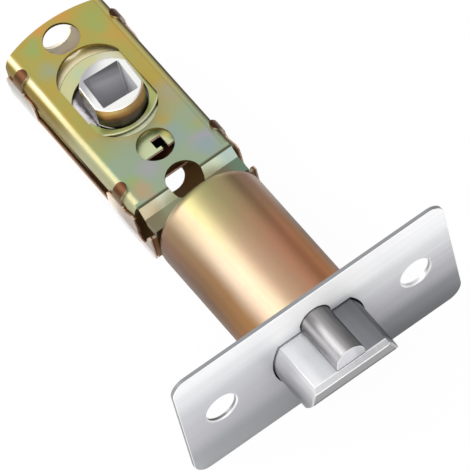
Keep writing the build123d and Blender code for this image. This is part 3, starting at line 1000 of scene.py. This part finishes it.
def hubMetal(name, look):
    made, graph = material(name)
    place = graph.place()
    x, y, high = graph.along("X"), graph.along("Y"), abs(graph.along("Z"))
    faceY, faceZ = graph.facing("Y"), graph.facing("Z")
    drift = graph.drift(place, look["drift"])
    fromAxis = x - look["axis"]

    # The boss's round side, with a brassy painted reflection toward the bolt and painted shade toward
    # its foot, its flat in painted shade, and a painted glint round its foot
    brass = graph.stops(high + drift * look["driftZ"], look["brass"])
    brassFrom = (x + drift * look["driftX"]).ramp(look["brassFrom"])
    side = graph.mix(brassFrom, graph.stops(high, look["silver"]), brass)
    flat = faceY.ramp(look["flatLean"])
    side = graph.mix(flat, side, graph.stops(high, look["flat"]))
    footGlint = (high + y * look["footGlintSlope"]).near(look["footGlintHeight"], look["footGlintWidth"])
    footGlint = footGlint * y.fall(look["footGlintEnd"]) * x.ramp(look["footGlintFrom"])
    side = graph.mix(footGlint, side, look["footGlint"])

    # The boss's end, in painted light and shade, and the flange below it, in painted shade by the boss
    # and painted light further out, with a painted patch of light at its front
    bright = (fromAxis + y + drift).ramp(look["brightFrom"])
    top = graph.mix(bright, look["shade"], look["bright"])
    lightNoise = graph.noise(place, look["flangeLightNoise"], detail=2.0, warp=1.0) - 0.5
    outer = (y + lightNoise * look["flangeLightNoiseReach"]).fall(look["flangeOuterEnd"])
    flange = graph.mix(outer, look["flange"], look["flangeOuter"])
    front = x.ramp(look["flangeFrontFrom"]) * x.fall(look["flangeFrontEnd"])
    front = front * high.ramp(look["flangeFrontHeight"])
    flange = graph.mix(front, flange, look["flangeFront"])
    low = high.fall(look["flangeTop"])
    top = graph.mix(low, top, flange)
    upright = faceZ.fall(look["topLean"])
    colour = graph.mix(upright, top, side)

    # The square bore, its walls in painted light and shade, and where the metal shines less
    inside = abs(fromAxis).above(abs(y)).fall(look["bore"]) * upright
    left = graph.stops(high + y * look["boreSlope"], look["boreLeft"])
    bore = graph.mix(faceY.ramp(look["boreRightLean"]), left, look["boreRight"])
    colour = graph.mix(inside, colour, bore)
    dull = inside.above(front * low * look["flangeFrontDull"]).above(footGlint)
    brassDull = upright * x.ramp(look["brassDullFrom"]) * (1.0 - flat) * look["brassDull"]
    metal = 1.0 - dull.above(brassDull) * (1.0 - look["dullMetal"])
    grain = graph.noise(place, look["grain"])
    surface(graph, colour, gritty(look, grain), grain, look["bump"], metal)
    return made


steel = plainSteel("plain_steel_look", steelLook)
darkSteel = plainSteel("dark_steel_look", darkSteelLook)
wire = plainSteel("wire_look", wireLook)
paint("faceplate", brushedPlate("faceplate_look", plateLook))
paint("front_tube", barrelZinc("barrel_look", barrelLook))
paint("latch_bolt", boltMetal("bolt_look", boltLook))
paint("plunger", plungerMetal("plunger_look", plungerLook))
paint("hub", hubMetal("hub_look", hubLook))
paint("case_cover", coverZinc("cover_look", coverLook, coverPatches))
paint("case_base", baseZinc("base_look", baseLook))
for node in ("inner_plate_upper", "inner_plate_lower"):
    paint(node, innerZinc(node + "_look", innerLook))
for node in ("disc_upper", "disc_lower"):
    paint(node, discZinc(node + "_look", discLook, discPatches))
for node in ("retractor", "blocking_lever"):
    paint(node, darkSteel)
for node in ("guide_bush", "bolt_tail", "tail_pin", "spring_seat", "plunger_rod",
             "rod_guide", "lever_bracket", "lever_pin"):
    paint(node, steel)
print("materials done")


# Springs, built again as coils that fill their parts' boxes. Each joint's
# travel and each wire's thickness are in metres
springLooks = (
    {"node": "bolt_spring", "name": "bolt_spring_coil", "joint": "latch_bolt_slide",
     "travel": 0.0115, "turns": 10, "wire": 0.0006},
    {"node": "plunger_spring", "name": "plunger_spring_coil", "joint": "plunger_slide",
     "travel": 0.0102, "turns": 6, "wire": 0.0004},
)


# A helix that fills the spring's own box, with its ends closed
def coil(look, made, steps=28, sides=10):
    low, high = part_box(look["node"])
    half = look["wire"] / 2
    reach = (high[1] - low[1]) / 2 - half
    middle = Vector((low[0] + half, (low[1] + high[1]) / 2, (low[2] + high[2]) / 2))
    pitch = (high[0] - low[0] - look["wire"]) / look["turns"]
    points, faces = [], []
    last = look["turns"] * steps
    for step in range(last + 1):
        turn = step / steps * 2 * pi
        out = Vector((0, sin(turn), -cos(turn)))
        along = Vector((pitch / (2 * pi), reach * cos(turn), reach * sin(turn))).normalized()
        across = along.cross(out)
        centre = middle + out * reach + Vector((pitch * step / steps, 0, 0))
        for side in range(sides):
            about = side / sides * 2 * pi
            points.append(centre + (out * cos(about) + across * sin(about)) * half)
        if step:
            first = (step - 1) * sides
            for side in range(sides):
                after = (side + 1) % sides
                faces.append((first + side, first + after, first + sides + after,
                              first + sides + side))
    faces.append(tuple(reversed(range(sides))))
    faces.append(tuple(range(last * sides, (last + 1) * sides)))
    mesh = bpy.data.meshes.new(look["name"])
    mesh.from_pydata(points, [], faces)
    for polygon in mesh.polygons:
        polygon.use_smooth = len(polygon.vertices) == 4
    mesh.materials.append(made)
    spring = bpy.data.objects.new(look["name"], mesh)
    bpy.context.collection.objects.link(spring)
    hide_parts(look["node"])
    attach(spring, "case")
    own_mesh(spring)


for look in springLooks:
    coil(look, wire)
print("springs done")


# Floor and studio light. The floor is seen as white, and mirrored as white ahead of the plate
stageLook = {
    "floor": (0.86, 0.86, 0.86, 1.0),
    "floorSize": 6.0,
    "floorHeight": -0.0143,
    "whiteSeen": 0.97,
    "mirroredFrom": (-5.0, 30.0),
    "aim": (-0.04, 0, 0),
    "key": {"from": (-0.49, -0.51, 0.70), "distance": 1.2, "size": 0.8, "power": 6.0},
    "front": {"from": (0.51, -0.35, 0.80), "distance": 1.5, "size": 1.0, "power": 7.0},
    "skyLow": 0.10,
    "skyHigh": 1.0,
    "skySpan": (-0.3, 0.95),
    "sheenFrom": (0.84, 0.20, 0.51),
    "sheen": 0.9,
    "sheenSpan": (0.7, 0.97),
}

bpy.ops.mesh.primitive_plane_add(size=stageLook["floorSize"], location=(0, 0, stageLook["floorHeight"]))
floor = bpy.context.object
floor.name = "floor"
made, graph = material("floor_look")
cameraRay = graph.node("ShaderNodeLightPath", output="Is Camera Ray")
mirrorRay = graph.node("ShaderNodeLightPath", output="Is Glossy Ray")
clearRay = graph.node("ShaderNodeLightPath", output="Is Transmission Ray")
mirrored = mirrorRay * graph.along("X").ramp(stageLook["mirroredFrom"])
white = (cameraRay * stageLook["whiteSeen"]).above(mirrored)
white = white.above(clearRay * stageLook["whiteSeen"])
matt = graph.node("ShaderNodeBsdfDiffuse", None, {"Color": stageLook["floor"]})
glow = graph.node("ShaderNodeEmission", None, {"Color": whiteLight, "Strength": 1.0})
both = graph.node("ShaderNodeMixShader", None, {0: white, 1: matt, 2: glow})
graph.node("ShaderNodeOutputMaterial", None, {"Surface": both}, None)
floor.data.materials.append(made)

# The sky is brighter toward the key light, with a sheen ahead of the plate
world = bpy.data.worlds.new("studio")
bpy.context.scene.world = world
world.use_nodes = True
graph = Graph(world.node_tree)
cameraRay = graph.node("ShaderNodeLightPath", output="Is Camera Ray")
sky = graph.node("ShaderNodeTexCoord", output="Generated")
towardsKey = graph.vector("DOT_PRODUCT", sky, stageLook["key"]["from"], "Value")
towardsSheen = graph.vector("DOT_PRODUCT", sky, stageLook["sheenFrom"], "Value")
spread = stageLook["skyHigh"] - stageLook["skyLow"]
level = stageLook["skyLow"] + spread * towardsKey.ramp(stageLook["skySpan"])
level = level + stageLook["sheen"] * towardsSheen.ramp(stageLook["sheenSpan"])
strength = cameraRay + (1.0 - cameraRay) * level
back = graph.node("ShaderNodeBackground", None, {"Color": whiteLight, "Strength": strength})
graph.node("ShaderNodeOutputWorld", None, {"Surface": back}, None)


def areaLight(name, look, aim):
    data = bpy.data.lights.new(name, "AREA")
    data.shape = "DISK"
    data.size = look["size"]
    data.energy = look["power"]
    light = bpy.data.objects.new(name, data)
    bpy.context.collection.objects.link(light)
    place = Vector(aim) + Vector(look["from"]).normalized() * look["distance"]
    light.location = place
    light.rotation_euler = (Vector(aim) - place).to_track_quat("-Z", "Y").to_euler()


for name in ("key", "front"):
    areaLight(name, stageLook[name], stageLook["aim"])

# Camera placed by a fit of the plate's, barrel's and case's edges: its own axes and its place
# in metres, with the lens and the sensor in millimetres
cameraLook = {
    "right": (0.5719, 0.8057, -0.1541),
    "up": (-0.6427, 0.5569, 0.5262),
    "back": (0.5098, -0.2019, 0.8363),
    "place": (0.60048, -0.24725, 1.02926),
    "lens": 545.1,
    "sensor": 36.0,
    "nearest": 0.05,
    "farthest": 20.0,
}
data = bpy.data.cameras.new("camera")
data.lens = cameraLook["lens"]
data.sensor_width = cameraLook["sensor"]
data.clip_start = cameraLook["nearest"]
data.clip_end = cameraLook["farthest"]
camera = bpy.data.objects.new("camera", data)
bpy.context.collection.objects.link(camera)
turn = Matrix((cameraLook["right"], cameraLook["up"], cameraLook["back"])).transposed()
camera.matrix_world = Matrix.Translation(cameraLook["place"]) @ turn.to_4x4()
bpy.context.scene.camera = camera
bpy.context.scene.view_settings.view_transform = "Standard"
print("stage done")
